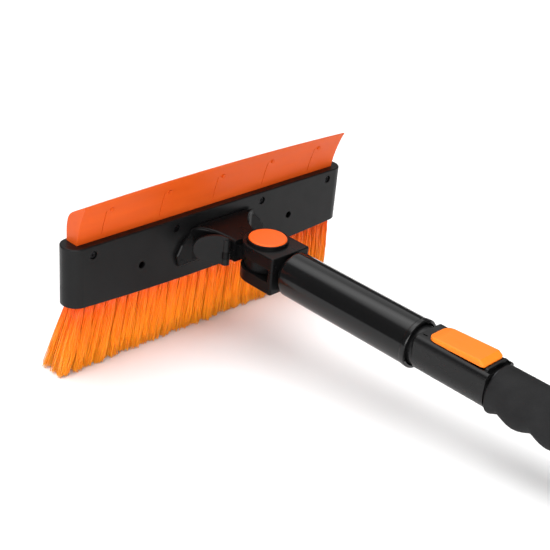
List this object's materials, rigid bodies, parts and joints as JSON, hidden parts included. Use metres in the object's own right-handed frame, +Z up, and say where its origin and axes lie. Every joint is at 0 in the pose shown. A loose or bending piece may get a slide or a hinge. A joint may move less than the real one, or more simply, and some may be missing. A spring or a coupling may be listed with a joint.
{
  "type": "snow brush scraper",
  "caption": "Extendable snow brush: wide swivelling head with soft bristles and a rubber squeegee, foam-gripped telescopic pole with a thumb lock, and an ice scraper on the far end.",
  "frame": {"origin": "under the middle of the tool's outline, on the ground it lies on", "axes": "+X along the brush head; +Y from the scraper towards the head, level with the ground; +Z up. The pole climbs 6.42 degrees towards the head, because the tool rests on its bristle tips and on the scraper's edge."},
  "size_m": [0.2942, 0.69, 0.1413],
  "materials": {
    "black_gloss": "glossy black moulded plastic",
    "black_matte": "black moulded plastic with a fine sheen",
    "orange": "bright orange plastic",
    "orange_rubber": "matt orange flexible rubber",
    "bristle": "orange nylon bristles",
    "foam": "soft black closed-cell foam",
    "tube": "black anodised aluminium",
    "steel": "bright zinc-plated steel",
    "dark_steel": "blackened steel"
  },
  "bodies": {
    "grip": {"outer_tube": "tube", "lock_body": "black_matte", "button_pin": "steel", "button_spring": "steel", "foam_grip": "foam", "scraper_socket": "black_matte", "scraper_blade": "orange", "scraper_screws": "dark_steel"},
    "extension": {"pivot_housing": "black_matte", "pivot_bolt": "steel", "pivot_nut": "steel", "pivot_spring": "steel", "neck_sleeve": "black_matte", "sleeve_spacers": "black_matte", "inner_tube": "tube", "tube_guide": "black_matte"},
    "head": {"head_front_shell": "black_gloss", "head_back_shell": "black_gloss", "head_screws": "dark_steel", "bracket_screws": "steel", "squeegee_blade": "orange_rubber", "bristle_base": "black_matte", "bristle_row_front": "bristle", "bristle_row_middle": "bristle", "bristle_row_rear": "bristle", "head_bracket": "black_matte", "swivel_arm": "black_matte", "latch_pin": "steel", "latch_spring": "steel"},
    "pivot_button": {"pivot_button": "orange", "lock_gear": "steel"},
    "latch_lever": {"latch_lever": "black_matte"},
    "thumb_button": {"thumb_button": "orange"},
    "lock_pin": {"lock_pin": "steel"}
  },
  "joints": [
    {"name": "pole_slide", "type": "slide", "parent": "grip", "child": "extension", "axis": [0, 0.9937, 0.1118], "range_m": [0, 0.2]},
    {"name": "head_swivel", "type": "hinge", "parent": "extension", "child": "head", "pos_m": [0, 0.24719, 0.07669], "axis": [0, -0.1118, 0.9937], "range_deg": [-90, 90]},
    {"name": "pivot_button_press", "type": "slide", "parent": "extension", "child": "pivot_button", "axis": [0, -0.1118, 0.9937], "range_m": [-0.0033, 0], "stiffness_N_per_m": 1500, "springref_m": 0.002, "deforming": ["pivot_spring"]},
    {"name": "latch_squeeze", "type": "hinge", "parent": "head", "child": "latch_lever", "pos_m": [-0.0195, 0.27104, 0.07938], "axis": [0, -0.1118, 0.9937], "range_deg": [0, 16], "stiffness_Nm_per_rad": 0.2, "springref_deg": -11.46, "deforming": ["latch_spring"]},
    {"name": "thumb_press", "type": "hinge", "parent": "grip", "child": "thumb_button", "pos_m": [0, 0.05973, 0.07029], "axis": [1, 0, 0], "range_deg": [0, 6.5], "stiffness_Nm_per_rad": 0.25, "springref_deg": -11.46, "deforming": ["button_spring"]},
    {"name": "lock_pin_lift", "type": "slide", "parent": "grip", "child": "lock_pin", "axis": [0, -0.1118, 0.9937], "range_m": [0, 0.0021]}
  ],
  "couplings": [
    {"joint": "lock_pin_lift", "follows": "thumb_press", "m_per_rad": 0.018}
  ]
}
